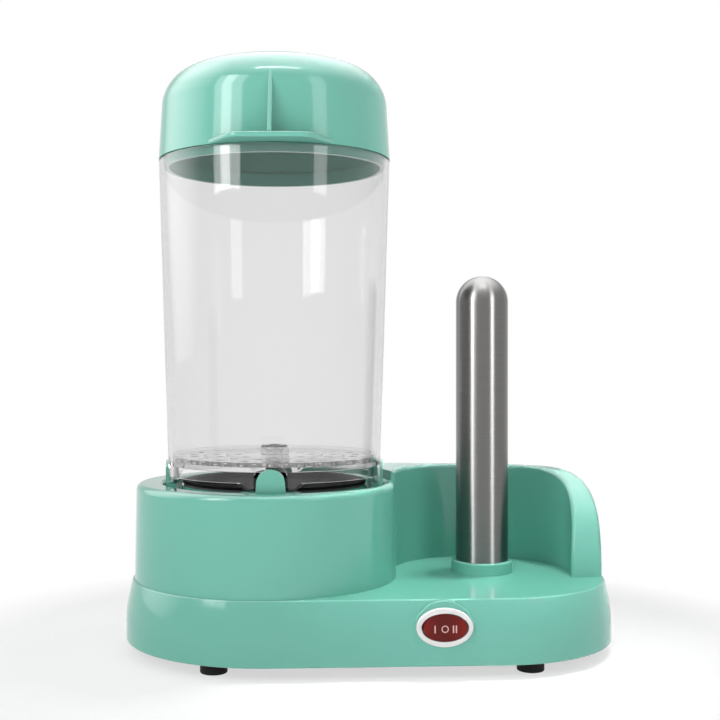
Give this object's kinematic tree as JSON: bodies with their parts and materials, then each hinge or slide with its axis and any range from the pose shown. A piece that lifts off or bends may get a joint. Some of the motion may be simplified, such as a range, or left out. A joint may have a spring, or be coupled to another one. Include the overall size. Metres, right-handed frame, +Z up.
{
  "type": "hot dog machine",
  "caption": "Counter-top hot dog steamer: flared clear jar with domed lid on a heated water pan, beside a heated steel spike in a walled bay, on a mint plastic base with a rocker switch.",
  "frame": {"origin": "On the table plane under the middle of the base's outline", "axes": "+X to the right seen from the front, +Y to the back, +Z up; the switch faces -Y"},
  "size_m": [0.2396, 0.1378, 0.2927],
  "materials": {
    "mint_plastic": "glossy mint green moulded plastic",
    "clear_plastic": "clear moulded plastic",
    "polished_steel": "polished drawn stainless steel",
    "black_coating": "black non-stick coating on pressed metal",
    "black_rubber": "black rubber",
    "black_plastic": "black matt plastic",
    "switch_black": "black phenolic plastic",
    "white_plastic": "white glossy plastic",
    "red_plastic": "dark red translucent plastic with printed switch marks",
    "silicone": "grey silicone",
    "plated_steel": "zinc-plated steel",
    "heater_sheath": "heat-darkened steel sheath",
    "brass": "plain brass",
    "ceramic": "unglazed steatite ceramic"
  },
  "bodies": {
    "base": {"base_housing": "mint_plastic", "jar_turret": "mint_plastic", "jar_tongues": "mint_plastic", "bay_shield": "mint_plastic", "bottom_cover": "black_plastic", "rubber_feet": "black_rubber", "cover_screws": "plated_steel", "water_pan": "black_coating", "pan_seal": "silicone", "pan_clips": "plated_steel", "clip_nuts": "plated_steel", "heating_element": "heater_sheath", "thermostat": "switch_black", "thermal_fuse": "plated_steel", "spike_tube": "polished_steel", "spike_retainer": "plated_steel", "retainer_screws": "plated_steel", "heater_bush": "ceramic", "spike_heater": "heater_sheath", "switch_frame": "white_plastic", "switch_terminals": "brass", "cord_gland": "black_plastic", "gland_nut": "black_plastic", "terminal_block": "white_plastic", "terminal_screws": "brass"},
    "jar": {"steam_jar": "clear_plastic"},
    "tray": {"steam_tray": "clear_plastic"},
    "lid": {"lid": "mint_plastic"},
    "rocker": {"switch_rocker": "red_plastic"}
  },
  "joints": [
    {"name": "jar_lift", "type": "slide", "parent": "base", "child": "jar", "axis": [0, 0, 1], "range_m": [0, 0.09]},
    {"name": "lid_lift", "type": "slide", "parent": "jar", "child": "lid", "axis": [0, 0, 1], "range_m": [0, 0.06]},
    {"name": "tray_lift", "type": "slide", "parent": "jar", "child": "tray", "axis": [0, 0, 1], "range_m": [0, 0.12]},
    {"name": "rocker_tilt", "type": "hinge", "parent": "base", "child": "rocker", "pos_m": [0.03125, -0.06377, 0.0237], "axis": [0, 0, 1], "range_deg": [-10, 10]}
  ]
}
